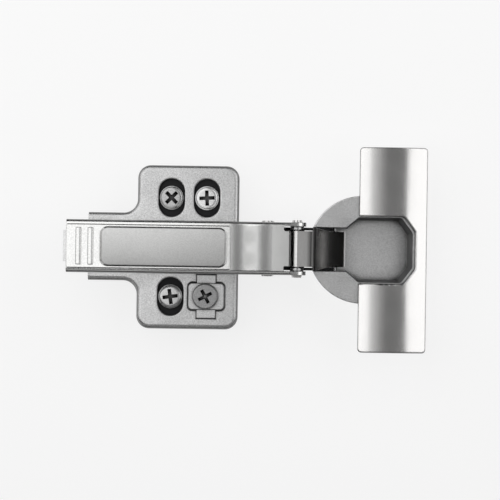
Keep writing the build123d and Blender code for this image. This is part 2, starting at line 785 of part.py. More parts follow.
# Damper: holder pressed into the arm, cylinder, rod and end cap
with BuildPart() as damper_holder:
    with BuildSketch(Plane.YZ.offset(damper_rear)):
        with Locations((0, (arm_foot + holder_top) / 2)):
            Rectangle(2 * arm_inner, holder_top - arm_foot)
        with Locations((0, damper_z)):
            Circle(damper_r, mode=Mode.SUBTRACT)
        with Locations((0, arm_foot)):
            Rectangle(2 * damper_r - 1, 2, mode=Mode.SUBTRACT)
    extrude(amount=holder_front - damper_rear)

with BuildPart() as damper_cylinder:
    with BuildSketch(Plane.YZ.offset(damper_rear)):
        with Locations((0, damper_z)):
            Circle(damper_r)
    extrude(amount=damper_front - damper_rear)
    with BuildSketch(Plane.YZ.offset(damper_rear + 1)):
        with Locations((0, damper_z)):
            Circle(damper_r - damper_wall)
    extrude(amount=damper_front - damper_rear, mode=Mode.SUBTRACT)

with BuildPart() as damper_cap:
    with BuildSketch(Plane.YZ.offset(damper_front - 1.4)):
        with Locations((0, damper_z)):
            Circle(damper_r - damper_wall)
            Circle(rod_r + pin_fit, mode=Mode.SUBTRACT)
    extrude(amount=1.4)

rod_tip = tail_x - tail_r - side_gap
with BuildPart() as damper_rod:
    with BuildSketch(Plane.YZ.offset(damper_front - rod_inside)):
        with Locations((0, damper_z)):
            Circle(rod_r)
    extrude(amount=rod_tip - damper_front + rod_inside)
    with BuildSketch(Plane.YZ.offset(rod_tip - rod_head_thick)):
        with Locations((0, damper_z)):
            Circle(rod_head_r)
    extrude(amount=rod_head_thick)
    with BuildSketch(Plane.YZ.offset(damper_front - rod_inside)):
        with Locations((0, damper_z)):
            Circle(damper_r - damper_wall - 0.1)
    extrude(amount=1.6)

# Cup, one piece with its flange
with BuildPart() as hinge_cup:
    with BuildSketch(Plane.XY.offset(door_face - cup_depth)):
        with Locations((cup_x, 0)):
            Circle(cup_r)
    extrude(amount=cup_depth)
    fillet(hinge_cup.edges().group_by(Axis.Z)[0], cup_foot_r)
    with BuildSketch(Plane.XY.offset(door_face - rim_drop)):
        with Locations((cup_x, 0)):
            Circle(cup_r + cup_rim)
    extrude(amount=rim_drop + cup_ledge)
    fillet(hinge_cup.edges().group_by(Axis.Z)[-1], 2 * cup_rim)
    with BuildSketch(Plane.XY.offset(door_face)):
        with Locations((flange_mid, 0)):
            RectangleRounded(flange_front - flange_rear - 2 * cap_wall - 2 * pin_fit,
                             2 * (flange_half - cap_wall - pin_fit), cap_corner_r - pin_fit)
    extrude(amount=flange_thick)
    with BuildSketch(Plane.XY.offset(door_face + flange_thick)) as pocket:
        with BuildLine():
            Polyline((cup_x + mouth_u, 0), (cup_x + mouth_u, channel_half), (cup_x + throat_u, pocket_half),
                     (cup_x + shoulder_u, pocket_half), (cup_x + pocket_front, pocket_nose),
                     (cup_x + pocket_front, 0), close=True)
        make_face()
        mirror(about=Plane.XZ)
        fillet([v for v in pocket.vertices() if v.X > cup_x + throat_u - 0.01], pocket_corner_r)
    extrude(amount=-cup_depth - flange_thick + cup_floor, taper=pocket_taper, mode=Mode.SUBTRACT)
    with BuildSketch(Plane.XY.offset(door_face + flange_thick)):
        with Locations((cup_x + (channel_rear + mouth_u + 1) / 2, 0)):
            Rectangle(mouth_u + 1 - channel_rear, 2 * channel_half)
    extrude(amount=-cup_depth - flange_thick + cup_floor, mode=Mode.SUBTRACT)
    with BuildSketch(Plane.XY.offset(door_face - lip_depth)):
        with Locations((cup_x + channel_rear, 0)):
            Rectangle(6, 2 * channel_half)
    extrude(amount=lip_depth + flange_thick, mode=Mode.SUBTRACT)
    with BuildSketch(Plane.XZ):
        with Locations((swing_x, swing_z)):
            Circle(swing_pin_r)
        with Locations((guide_x, guide_z)):
            Circle(guide_pin_r)
    extrude(amount=cup_pin_half, both=True, mode=Mode.SUBTRACT)
    with BuildSketch(Plane.XY.offset(door_face)):
        with Locations(*flange_spots):
            Circle(flange_screw_r)
    extrude(amount=flange_thick, mode=Mode.SUBTRACT)

with BuildPart() as swing_pin:
    with BuildSketch(Plane.XZ):
        with Locations((swing_x, swing_z)):
            Circle(swing_pin_r)
    extrude(amount=cup_pin_half, both=True)

with BuildPart() as guide_pin:
    with BuildSketch(Plane.XZ):
        with Locations((guide_x, guide_z)):
            Circle(guide_pin_r)
    extrude(amount=cup_pin_half, both=True)

# Crowned cover over the flange
rear_edge = cup_x + flange_rear
front_edge = cup_x + flange_front
with BuildPart() as cup_cover:
    with BuildSketch(Plane.XZ):
        with BuildLine():
            ThreePointArc((rear_edge, door_face + cap_edge), (flange_mid, door_face + cap_edge + cap_crown),
                          (front_edge, door_face + cap_edge))
            Polyline((front_edge, door_face + cap_edge), (front_edge, door_face), (rear_edge, door_face),
                     (rear_edge, door_face + cap_edge))
        make_face()
    extrude(amount=flange_half, both=True)
    fillet(cup_cover.edges().filter_by(Axis.Z), cap_corner_r)
    with BuildSketch(Plane.XY.offset(door_face)) as opening:
        with BuildLine():
            Polyline((rear_edge - sheet, 0), (rear_edge - sheet, pocket_half + cap_margin),
                     (cup_x + shoulder_u + 2 * cap_margin, pocket_half + cap_margin),
                     (cup_x + pocket_front + 2 * cap_margin, pocket_nose + cap_margin),
                     (cup_x + pocket_front + 2 * cap_margin, 0), close=True)
        make_face()
        mirror(about=Plane.XZ)
        fillet([v for v in opening.vertices() if v.X > cup_x], pocket_corner_r)
    extrude(amount=cap_edge + cap_crown, mode=Mode.SUBTRACT)
    fillet(cup_cover.faces().sort_by(Axis.Z)[-1].edges(), 0.4)
    with BuildSketch(Plane.XY.offset(door_face)):
        with Locations((flange_mid, 0)):
            RectangleRounded(flange_front - flange_rear - 2 * cap_wall, 2 * (flange_half - cap_wall),
                             cap_corner_r)
    extrude(amount=flange_thick + pin_fit, mode=Mode.SUBTRACT)
    with BuildSketch(Plane.XY.offset(door_face)):
        with Locations((cup_x, 0)):
            Circle(cup_r + cup_rim + pin_fit)
    extrude(amount=cup_ledge + pin_fit, mode=Mode.SUBTRACT)

nodes = {
    "base_plate": base_plate,
    "height_plate": height_plate,
    "euro_screws": euro_screws,
    "height_cam": height_cam,
    "clip_rail": clip_rail,
    "rail_rivets": rail_rivets,
    "carrier": carrier,
    "hook_pin": hook_pin,
    "depth_slide": depth_slide,
    "tilt_pin": tilt_pin,
    "depth_screw": depth_screw,
    "side_screw": side_screw,
    "release_lever": release_lever,
    "lever_pin": lever_pin,
    "lever_spring": lever_spring,
    "hinge_arm": hinge_arm,
    "arm_cover": arm_cover,
    "front_pin": front_pin,
    "rear_pin": rear_pin,
    "knuckle_washers": knuckle_washers,
    "front_link": front_link,
    "rear_link": rear_link,
    "closing_spring": closing_spring,
    "damper_holder": damper_holder,
    "damper_cylinder": damper_cylinder,
    "damper_cap": damper_cap,
    "damper_rod": damper_rod,
    "hinge_cup": hinge_cup,
    "swing_pin": swing_pin,
    "guide_pin": guide_pin,
    "cup_cover": cup_cover,
}
for node_name, node in nodes.items():
    node.part.label = node_name
    export_step(node.part, f"parts/{node_name}.step")
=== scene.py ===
import math

import bmesh
import bpy
from mathutils import Matrix, Vector


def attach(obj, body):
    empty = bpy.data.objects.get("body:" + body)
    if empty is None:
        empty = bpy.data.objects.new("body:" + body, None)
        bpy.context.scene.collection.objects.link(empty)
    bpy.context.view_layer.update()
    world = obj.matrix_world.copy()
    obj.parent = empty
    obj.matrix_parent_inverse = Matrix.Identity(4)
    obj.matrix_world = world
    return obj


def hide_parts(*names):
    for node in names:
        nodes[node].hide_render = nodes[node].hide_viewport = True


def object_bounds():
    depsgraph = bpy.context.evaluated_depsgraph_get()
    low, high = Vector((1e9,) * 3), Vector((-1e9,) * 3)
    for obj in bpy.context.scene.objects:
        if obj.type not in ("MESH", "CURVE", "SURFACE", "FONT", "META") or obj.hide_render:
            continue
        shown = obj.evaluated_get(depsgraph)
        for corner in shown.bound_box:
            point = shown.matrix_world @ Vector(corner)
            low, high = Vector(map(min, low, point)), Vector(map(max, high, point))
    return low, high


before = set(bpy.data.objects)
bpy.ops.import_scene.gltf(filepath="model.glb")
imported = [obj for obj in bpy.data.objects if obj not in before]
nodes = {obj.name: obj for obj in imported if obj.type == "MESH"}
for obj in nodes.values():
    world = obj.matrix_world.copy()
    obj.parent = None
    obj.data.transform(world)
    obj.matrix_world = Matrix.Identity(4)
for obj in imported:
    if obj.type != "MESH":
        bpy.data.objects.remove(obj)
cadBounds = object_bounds()
scene = bpy.context.scene
mm = 0.001


def grey(value):
    return (value, value, value, 1)


# arithmetic on a few values, each a number or the output of another node
def mathNode(tree, operation, *values):
    node = tree.nodes.new("ShaderNodeMath")
    node.operation = operation
    for socket, value in zip(node.inputs, values):
        if isinstance(value, float):
            socket.default_value = value
        else:
            tree.links.new(value, socket)
    return node.outputs["Value"]


# runs from start to end while a value goes from low to high
def rampNode(tree, value, low, high, start=0.0, end=1.0):
    ramp = tree.nodes.new("ShaderNodeMapRange")
    ramp.inputs["From Min"].default_value = low
    ramp.inputs["From Max"].default_value = high
    ramp.inputs["To Min"].default_value = start
    ramp.inputs["To Max"].default_value = end
    tree.links.new(value, ramp.inputs["Value"])
    return ramp.outputs["Result"]


# the same between two places along an axis, in millimetres of the frame
def frameRamp(tree, place, axis, low, high, start=0.0, end=1.0):
    parts = tree.nodes.new("ShaderNodeSeparateXYZ")
    tree.links.new(place.outputs["Object"], parts.inputs["Vector"])
    return rampNode(tree, parts.outputs[axis], low * mm, high * mm, start, end)


# runs from one colour to another while a value goes from low to high
def toneNode(tree, value, low, high, first, last):
    tone = tree.nodes.new("ShaderNodeValToRGB")
    for stop, position, colour in zip(tone.color_ramp.elements, (low, high), (first, last)):
        stop.position = position
        stop.color = colour
    tree.links.new(value, tone.inputs["Fac"])
    return tone.outputs["Color"]


def noiseNode(tree, vector, scale, detail, roughness):
    noise = tree.nodes.new("ShaderNodeTexNoise")
    noise.inputs["Scale"].default_value = scale
    noise.inputs["Detail"].default_value = detail
    noise.inputs["Roughness"].default_value = roughness
    tree.links.new(vector, noise.inputs["Vector"])
    return noise.outputs["Fac"]


def attributeNode(tree, name):
    reader = tree.nodes.new("ShaderNodeAttribute")
    reader.attribute_name = name
    return reader.outputs["Fac"]


def newMaterial(name):
    mat = bpy.data.materials.new(name)
    mat.use_nodes = True
    return mat, mat.node_tree


# fine bumps of a finish, on top of another normal where one is given
def addBumps(tree, shader, height, strength, relief, normal=None):
    rise = tree.nodes.new("ShaderNodeBump")
    rise.inputs["Strength"].default_value = strength
    rise.inputs["Distance"].default_value = relief * mm
    tree.links.new(height, rise.inputs["Height"])
    if normal is not None:
        tree.links.new(normal, rise.inputs["Normal"])
    tree.links.new(rise.outputs["Normal"], shader.inputs["Normal"])


# what all plated pieces share: speckle, slow clouds of gloss, and the slopes at which the painted edge and
# shoulder shade sets in
plating = {"speckleDetail": 3.0, "speckleRough": 0.65, "speckleRange": (0.40, 0.60),
           "cloud": 140.0, "cloudDetail": 4.0, "cloudRough": 0.5, "cloudRange": (0.3, 0.7),
           "cornerSamples": 6, "edgeSamples": 4, "relief": 0.02,
           "edgeShadeTurn": (0.995, 0.90), "steep": (0.85, 0.60), "leaning": (0.02, 0.20)}


# painted shade: sharp edges are darkened, standing in for the dark that rounded edges would mirror
def edgeShadeTint(tree, soft, dark):
    face = tree.nodes.new("ShaderNodeNewGeometry")
    lean = tree.nodes.new("ShaderNodeVectorMath")
    lean.operation = "DOT_PRODUCT"
    tree.links.new(soft.outputs["Normal"], lean.inputs[0])
    tree.links.new(face.outputs["Normal"], lean.inputs[1])
    return grey(dark), rampNode(tree, lean.outputs["Value"], *plating["edgeShadeTurn"])


# painted shade: rounded shoulders between the top and the upright side are darkened, standing in for the
# dark they would mirror
def shoulderShadeTint(tree, place, dark):
    slope = tree.nodes.new("ShaderNodeSeparateXYZ")
    tree.links.new(place.outputs["Normal"], slope.inputs["Vector"])
    steep = rampNode(tree, slope.outputs["Z"], *plating["steep"])
    leaning = rampNode(tree, slope.outputs["Z"], *plating["leaning"])
    return grey(dark), mathNode(tree, "MULTIPLY", steep, leaning)


# the raised face is rougher than its frame, and painted shade darkens its colour, most along its near edge
def panelShadeTint(tree, place, panel):
    half = panel["half"]
    raised = frameRamp(tree, place, "Z", panel["low"], panel["high"])
    panelShade = frameRamp(tree, place, "Y", -half, half, panel["nearShade"], panel["farShade"])
    return panelShade, raised


# painted shade: the walls of the drawn well are blackened, standing in for the dark they mirror; its floor
# and ledge are not
def wellShadeTint(tree, place, well):
    across = tree.nodes.new("ShaderNodeMapping")
    across.inputs["Location"].default_value = (-well["middle"] * mm, 0, 0)
    across.inputs["Scale"].default_value = (1, 1, 0)
    tree.links.new(place.outputs["Object"], across.inputs["Vector"])
    radius = tree.nodes.new("ShaderNodeVectorMath")
    radius.operation = "LENGTH"
    tree.links.new(across.outputs["Vector"], radius.inputs[0])
    inside = mathNode(tree, "LESS_THAN", radius.outputs["Value"], well["radius"] * mm)
    aboveFloor = frameRamp(tree, place, "Z", *well["floor"])
    belowLedge = frameRamp(tree, place, "Z", *well["ledge"])
    band = mathNode(tree, "MULTIPLY", aboveFloor, belowLedge)
    return grey(well["dark"]), mathNode(tree, "MULTIPLY", band, inside)


# painted shade: the outer bend of the link is darkened, damping the highlight it catches
def foldShadeTint(tree, place, fold):
    along = frameRamp(tree, place, "X", *fold["along"])
    up = frameRamp(tree, place, "Z", *fold["up"])
    return grey(fold["shadeDark"]), mathNode(tree, "MULTIPLY", along, up)


# each tint multiplies the colour, to its own share where it has one
def mixTints(tree, colour, tints):
    for tint, share in tints:
        mixed = tree.nodes.new("ShaderNodeMix")
        mixed.data_type = "RGBA"
        mixed.blend_type = "MULTIPLY"
        mixed.inputs["Factor"].default_value = 1.0
        tree.links.new(colour, mixed.inputs["A"])
        if isinstance(tint, tuple):
            mixed.inputs["B"].default_value = tint
        else:
            tree.links.new(tint, mixed.inputs["B"])
        if share is not None:
            tree.links.new(share, mixed.inputs["Factor"])
        colour = mixed.outputs["Result"]
    return colour


# plated metal: speckled grain, cloudy gloss, softened edges and painted shade, all in object space
def platedMetal(name, look):
    mat, tree = newMaterial(name)
    shader = tree.nodes["Principled BSDF"]
    shader.inputs["Metallic"].default_value = 1.0
    place = tree.nodes.new("ShaderNodeTexCoord")
    stretch = tree.nodes.new("ShaderNodeMapping")
    stretch.inputs["Scale"].default_value = look.get("stretch", (1, 1, 1))
    tree.links.new(place.outputs["Object"], stretch.inputs["Vector"])
    grain = noiseNode(tree, stretch.outputs["Vector"], look["grain"],
                      plating["speckleDetail"], plating["speckleRough"])
    cloud = noiseNode(tree, place.outputs["Object"], plating["cloud"],
                      plating["cloudDetail"], plating["cloudRough"])
    gloss = rampNode(tree, cloud, *plating["cloudRange"],
                     look["rough"] - look["spread"], look["rough"] + look["spread"])
    dipped = [c * look["dip"] for c in look["colour"]]
    tone = toneNode(tree, grain, *plating["speckleRange"], (*dipped, 1), (*look["colour"], 1))
    crevice = tree.nodes.new("ShaderNodeAmbientOcclusion")  # painted shade: darkens the colour in corners and recesses, where shade falls
    crevice.samples = plating["cornerSamples"]
    crevice.inputs["Distance"].default_value = look["reach"] * mm
    paintedShade = toneNode(tree, crevice.outputs["AO"], look["paintedShadeStart"], look["paintedShadeEnd"],
                    grey(look["paintedShade"]), grey(1))
    soft = tree.nodes.new("ShaderNodeBevel")
    soft.samples = plating["edgeSamples"]
    soft.inputs["Radius"].default_value = look["edge"] * mm
    tints = [(paintedShade, None)]
    if "edgeShade" in look:
        tints.append(edgeShadeTint(tree, soft, look["edgeShade"]))
    if "shoulderShade" in look:
        tints.append(shoulderShadeTint(tree, place, look["shoulderShade"]))
    if "panel" in look:
        panelShade, raised = panelShadeTint(tree, place, look["panel"])
        tints.append((panelShade, raised))
        gloss = mathNode(tree, "MULTIPLY_ADD", raised, look["panel"]["haze"], gloss)
    if "well" in look:
        dark, wall = wellShadeTint(tree, place, look["well"])
        tints.append((dark, wall))
        bare = mathNode(tree, "SUBTRACT", 1.0, wall)  # the painted shade takes the metal off the walls
        tree.links.new(bare, shader.inputs["Metallic"])
        shader.inputs["Specular IOR Level"].default_value = look["well"]["sheen"]
    if "fold" in look:
        tints.append(foldShadeTint(tree, place, look["fold"]))
    if "copyTone" in look:  # each copy's colour is multiplied by its own listed tone
        tints.append((attributeNode(tree, look["copyTone"]), None))
    if "recess" in look:  # painted shade in the cross, where shade falls
        tints.append((grey(look["recess"]), attributeNode(tree, "recess")))
    tree.links.new(mixTints(tree, tone, tints), shader.inputs["Base Color"])
    tree.links.new(gloss, shader.inputs["Roughness"])
    addBumps(tree, shader, grain, look["bump"], plating["relief"], soft.outputs["Normal"])
    return mat


blackening = {"sheen": 0.2, "detail": 2.0, "noiseRough": 0.5, "dip": 0.6, "bump": 0.25, "relief": 0.02}


# moulded or passivated black with a fine sparked skin
def darkSkin(name, look):
    mat, tree = newMaterial(name)
    shader = tree.nodes["Principled BSDF"]
    shader.inputs["Roughness"].default_value = look["rough"]
    shader.inputs["Specular IOR Level"].default_value = blackening["sheen"]
    place = tree.nodes.new("ShaderNodeTexCoord")
    skin = noiseNode(tree, place.outputs["Object"], look["grain"],
                     blackening["detail"], blackening["noiseRough"])
    dipped = [c * blackening["dip"] for c in look["colour"]]
    tone = toneNode(tree, skin, 0.0, 1.0, (*dipped, 1), (*look["colour"], 1))
    tree.links.new(tone, shader.inputs["Base Color"])
    addBumps(tree, shader, skin, blackening["bump"], blackening["relief"])
    return mat


# places and reaches in the looks are in millimetres
# painted shade in corners and recesses: how far it reaches and how dark it gets
cornerShade = {"reach": 1.6, "paintedShade": 0.10, "paintedShadeStart": 0.35, "paintedShadeEnd": 0.88}
brightLook = {"colour": (0.89, 0.88, 0.87), "rough": 0.14, "spread": 0.02, "grain": 2600, "dip": 0.90,
              "bump": 0.05, "edge": 0.08, **cornerShade}
capLook = {**brightLook, "edge": 0.50, "dip": 0.96, "bump": 0.22, "stretch": (1.4, 0.8, 1), "edgeShade": 0.2,
           "shoulderShade": 0.2}
# painted shade: the link's corner darkening reaches 8 mm, so it darkens wherever the cup and arm close
# over it
linkLook = {**brightLook, "reach": 8.0, "paintedShade": 0.12, "paintedShadeStart": 0.45, "paintedShadeEnd": 0.85,
            "fold": {"along": (43.6, 45.2), "up": (10.6, 11.2), "shadeDark": 0.14}}
pressedLook = {"colour": (0.96, 0.96, 0.95), "rough": 0.22, "spread": 0.02, "grain": 3000, "dip": 0.94,
               "bump": 0.12, "edge": 0.30, **cornerShade}
armLook = {**pressedLook, "paintedShadeEnd": 0.68, "edgeShade": 0.30, "shoulderShade": 0.22}
coverLook = {**pressedLook, "colour": (0.92, 0.92, 0.91), "dip": 0.86, "edgeShade": 0.75,
             "panel": {"low": 17.52, "high": 17.60, "haze": 0.10, "half": 6.6,
                       "nearShade": 0.54, "farShade": 0.77}}
satinLook = {"colour": (0.80, 0.80, 0.80), "rough": 0.34, "spread": 0.05, "grain": 3400, "dip": 0.64,
             "bump": 0.25, "edge": 0.45, "shoulderShade": 0.30, **cornerShade}
cupLook = {"colour": (0.92, 0.92, 0.92), "rough": 0.36, "spread": 0.05, "grain": 4200, "dip": 0.64,
           "bump": 0.30, "edge": 0.10, "reach": 3.0, "paintedShade": 0.04, "paintedShadeStart": 0.40, "paintedShadeEnd": 0.72,
           "well": {"middle": 62.0, "radius": 17.15, "floor": (-7.7, -7.0), "ledge": (4.0, 3.6),
                    "dark": 0.03, "sheen": 0.08}}
steelLook = {"colour": (0.80, 0.80, 0.80), "rough": 0.28, "spread": 0.05, "grain": 3200, "dip": 0.80,
             "bump": 0.15, "edge": 0.06, "reach": 1.3, "paintedShade": 0.02, "paintedShadeStart": 0.55, "paintedShadeEnd": 0.92}
screwLook = {**steelLook, "colour": (0.86, 0.86, 0.86), "paintedShadeStart": 0.30, "paintedShadeEnd": 0.66, "copyTone": "copyTone",
             "recess": 0.10}
camLook = {**steelLook, "colour": (0.44, 0.44, 0.44), "rough": 0.36, "dip": 0.66}
wireLook = {"colour": (0.52, 0.52, 0.53), "rough": 0.26, "spread": 0.05, "grain": 2400, "dip": 0.8,
            "bump": 0.15, "edge": 0.04, "stretch": (1, 6, 1), **cornerShade, "reach": 0.5}
brightNickel = platedMetal("bright_nickel", brightLook)
capNickel = platedMetal("cap_nickel", capLook)
linkNickel = platedMetal("link_nickel", linkLook)
armNickel = platedMetal("arm_nickel", armLook)
coverNickel = platedMetal("cover_nickel", coverLook)
satinNickel = platedMetal("satin_nickel", satinLook)
cupNickel = platedMetal("cup_nickel", cupLook)
platedSteel = platedMetal("plated_steel", steelLook)
screwSteel = platedMetal("screw_steel", screwLook)
camSteel = platedMetal("cam_steel", camLook)
springWire = platedMetal("spring_wire", wireLook)
blackSteelAndShade = darkSkin("black_steel_and_shade", {"colour": (0.016, 0.016, 0.018), "rough": 0.45, "grain": 3800})
blackPlastic = darkSkin("black_plastic", {"colour": (0.02, 0.02, 0.022), "rough": 0.55, "grain": 4600})

finishes = {
    "hinge_arm": armNickel, "arm_cover": coverNickel, "front_pin": brightNickel, "rear_pin": brightNickel,
    "front_link": linkNickel, "rear_link": blackSteelAndShade, "hinge_cup": cupNickel, "cup_cover": capNickel,
    # painted shade: the base plate gets black steel so that the deep slots around the screw heads read
    # dark, as shade
    "height_plate": satinNickel, "height_cam": camSteel, "base_plate": blackSteelAndShade,
    "damper_holder": blackPlastic, "damper_cap": blackPlastic,
}
for nodeName, node in nodes.items():
    node.data.materials.clear()
    node.data.materials.append(finishes.get(nodeName, platedSteel))
print("stage finishes on", len(nodes), "nodes")


# an empty tree with one named input for each size
def newTree(name, sizes):
    tree = bpy.data.node_groups.new(name, "GeometryNodeTree")
    tree.interface.new_socket("Geometry", in_out="INPUT", socket_type="NodeSocketGeometry")
    kinds = {float: "NodeSocketFloat", int: "NodeSocketInt", tuple: "NodeSocketVector"}
    for label, value in sizes.items():
        tree.interface.new_socket(label, in_out="INPUT", socket_type=kinds[type(value)])
    tree.interface.new_socket("Geometry", in_out="OUTPUT", socket_type="NodeSocketGeometry")
    return tree, tree.nodes.new("NodeGroupInput"), tree.nodes.new("NodeGroupOutput")


# a spiral that climbs Z, with its sizes from the tree's inputs
def spiralCurve(tree, enter, steps):
    spiral = tree.nodes.new("GeometryNodeCurveSpiral")
    spiral.inputs["Resolution"].default_value = steps
    tree.links.new(enter.outputs["Turns"], spiral.inputs["Rotations"])
    tree.links.new(enter.outputs["Radius"], spiral.inputs["Start Radius"])
    tree.links.new(enter.outputs["Radius"], spiral.inputs["End Radius"])
    tree.links.new(enter.outputs["Length"], spiral.inputs["Height"])
    return spiral.outputs["Curve"]


# a section of that many sides swept along a curve
def sweptSection(tree, curve, radius, sides):
    section = tree.nodes.new("GeometryNodeCurvePrimitiveCircle")
    section.inputs["Resolution"].default_value = sides
    tree.links.new(radius, section.inputs["Radius"])
    sweep = tree.nodes.new("GeometryNodeCurveToMesh")
    sweep.inputs["Fill Caps"].default_value = True
    tree.links.new(curve, sweep.inputs["Curve"])
    tree.links.new(section.outputs["Curve"], sweep.inputs["Profile Curve"])
    return sweep.outputs["Mesh"]


# every tree ends in plain geometry with its finish
def endTree(tree, leave, geometry, material):
    real = tree.nodes.new("GeometryNodeRealizeInstances")
    tree.links.new(geometry, real.inputs["Geometry"])
    paint = tree.nodes.new("GeometryNodeSetMaterial")
    paint.inputs["Material"].default_value = material
    tree.links.new(real.outputs["Geometry"], paint.inputs["Geometry"])
    tree.links.new(paint.outputs["Geometry"], leave.inputs["Geometry"])


# runs a tree on a mesh, with its sizes set by socket identifier, and gives back a plain object
def runTree(name, mesh, tree, sizes):
    seed = bpy.data.objects.new(name + "Seed", mesh)
    scene.collection.objects.link(seed)
    modifier = seed.modifiers.new("nodes", "NODES")
    modifier.node_group = tree
    for item in tree.interface.items_tree:
        if item.in_out == "INPUT" and item.name in sizes:
            modifier[item.identifier] = sizes[item.name]
    bpy.context.view_layer.update()
    graph = bpy.context.evaluated_depsgraph_get()
    plain = bpy.data.meshes.new_from_object(seed.evaluated_get(graph))
    bpy.data.objects.remove(seed)
    piece = bpy.data.objects.new(name, plain)
    scene.collection.objects.link(piece)
    return piece


coilMesh = {"steps": 28, "sides": 12, "sharp": 50}
closingSizes = {"Turns": 6.9, "Radius": 1.6 * mm, "Length": 5.2 * mm, "Wire": 0.29 * mm,
                "Start": (31.3 * mm, -2.6 * mm, 8.0 * mm)}
leverSizes = {"Turns": 5.0, "Radius": 1.4 * mm, "Length": 4.0 * mm, "Wire": 0.24 * mm,
              "Start": (-28.0 * mm, -2.0 * mm, 7.0 * mm)}


# round wire wound along Y at a place in the frame
def coilTree(material, sizes):
    tree, enter, leave = newTree("coil", sizes)
    lay = tree.nodes.new("GeometryNodeTransform")
    lay.inputs["Rotation"].default_value = (math.radians(-90), 0, 0)
    tree.links.new(spiralCurve(tree, enter, coilMesh["steps"]), lay.inputs["Geometry"])
    tree.links.new(enter.outputs["Start"], lay.inputs["Translation"])
    wire = sweptSection(tree, lay.outputs["Geometry"], enter.outputs["Wire"], coilMesh["sides"])
    endTree(tree, leave, wire, material)
    return tree


for coilName, sizes, nodeName, body in (("closingCoil", closingSizes, "closing_spring", "arm"),
                                        ("leverCoil", leverSizes, "lever_spring", "height")):
    coil = runTree(coilName, bpy.data.meshes.new(coilName), coilTree(springWire, sizes), sizes)
    coil.data.shade_smooth()
    coil.data.set_sharp_from_angle(angle=math.radians(coilMesh["sharp"]))
    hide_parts(nodeName)
    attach(coil, body)
print("stage springs")


# system screw turned from a profile of radius and height, with a cross cut into the crown
# each copy has its place, its turn in degrees and its tone
screwSizes = {"profile": ((0.0, -11.0), (1.7, -11.0), (2.45, -9.6), (2.45, -0.35), (2.9, -0.3), (2.9, 2.0),
                          (3.9, 2.0), (3.9, 2.95), (3.82, 3.08), (3.66, 3.1), (3.55, 3.16), (3.55, 3.78),
                          (3.46, 4.03), (3.24, 4.2), (2.94, 4.28), (2.5, 4.3), (0.0, 4.3)),
              "segments": 56, "crossReach": 2.45, "crossWide": 1.15, "crossDepth": 1.6, "crossOver": 0.6,
              "crossFlare": 1.1, "crossFoot": 0.75, "crownSkin": 0.05,
              "copies": ((0.0, 16.0, 45, 0.62), (0.0, -16.0, 8, 0.74), (11.45, 16.0, 3, 1.0))}
threadMesh = {"steps": 40, "sides": 4, "sharp": 28}
threadSizes = {"Turns": 3.9, "Radius": 2.62 * mm, "Length": 8.6 * mm, "Tooth": 0.50 * mm,
               "Bottom": -9.4 * mm}


def turnedMesh(name, profile, segments):
    form = bmesh.new()
    rings = []
    for radius, height in profile:
        if radius == 0:
            rings.append([form.verts.new((0, 0, height * mm))])
            continue
        rings.append([form.verts.new((radius * mm * math.cos(2 * math.pi * k / segments),
                                      radius * mm * math.sin(2 * math.pi * k / segments), height * mm))
                      for k in range(segments)])
    for low, high in zip(rings, rings[1:]):
        for k in range(segments):
            after = (k + 1) % segments
            if len(low) == 1:
                form.faces.new((low[0], high[after], high[k]))
            elif len(high) == 1:
                form.faces.new((low[k], low[after], high[0]))
            else:
                form.faces.new((low[k], low[after], high[after], high[k]))
    bmesh.ops.recalc_face_normals(form, faces=form.faces)
    mesh = bpy.data.meshes.new(name)
    form.to_mesh(mesh)
    form.free()
    return mesh


# one bar of the cross, a block that narrows downwards
def crossCutter(sizes, turn):
    form = bmesh.new()
    top = sizes["profile"][-1][1]
    spin = Matrix.Rotation(turn, 3, "Z")
    corners = []
    for height, share in ((top + sizes["crossOver"], sizes["crossFlare"]),
                          (top - sizes["crossDepth"], sizes["crossFoot"])):
        reach, half = sizes["crossReach"] * share, sizes["crossWide"] / 2 * share
        corners.append([form.verts.new(spin @ Vector((x * reach, y * half, height)) * mm)
                        for x, y in ((-1, -1), (1, -1), (1, 1), (-1, 1))])
    up, down = corners
    form.faces.new(up)
    form.faces.new(reversed(down))
    for k in range(4):
        form.faces.new((up[k], down[k], down[(k + 1) % 4], up[(k + 1) % 4]))
    bmesh.ops.recalc_face_normals(form, faces=form.faces)
    mesh = bpy.data.meshes.new("cross")
    form.to_mesh(mesh)
    form.free()
    return bpy.data.objects.new("cross", mesh)


blankMesh = turnedMesh("screwBlank", screwSizes["profile"], screwSizes["segments"])
blank = bpy.data.objects.new("screwBlank", blankMesh)
scene.collection.objects.link(blank)
cutters = [crossCutter(screwSizes, turn) for turn in (0, math.pi / 2)]
for cutter in cutters:
    scene.collection.objects.link(cutter)
    cut = blank.modifiers.new("cross", "BOOLEAN")
    cut.operation = "DIFFERENCE"
    cut.solver = "EXACT"
    cut.object = cutter
bpy.context.view_layer.update()
cutMesh = bpy.data.meshes.new_from_object(blank.evaluated_get(bpy.context.evaluated_depsgraph_get()))
blank.modifiers.clear()
blank.data = cutMesh
for cutter in cutters:
    bpy.data.objects.remove(cutter)
recess = cutMesh.attributes.new("recess", "FLOAT", "FACE")  # 1 on the faces that the cross cut leaves, which get painted shade
crown = screwSizes["profile"][-1][1] - screwSizes["crownSkin"]
for face in cutMesh.polygons:
    x, y, z = face.center
    sunk = 0 < z < crown * mm and math.hypot(x, y) < screwSizes["crossReach"] * mm
    recess.data[face.index].value = float(sunk)


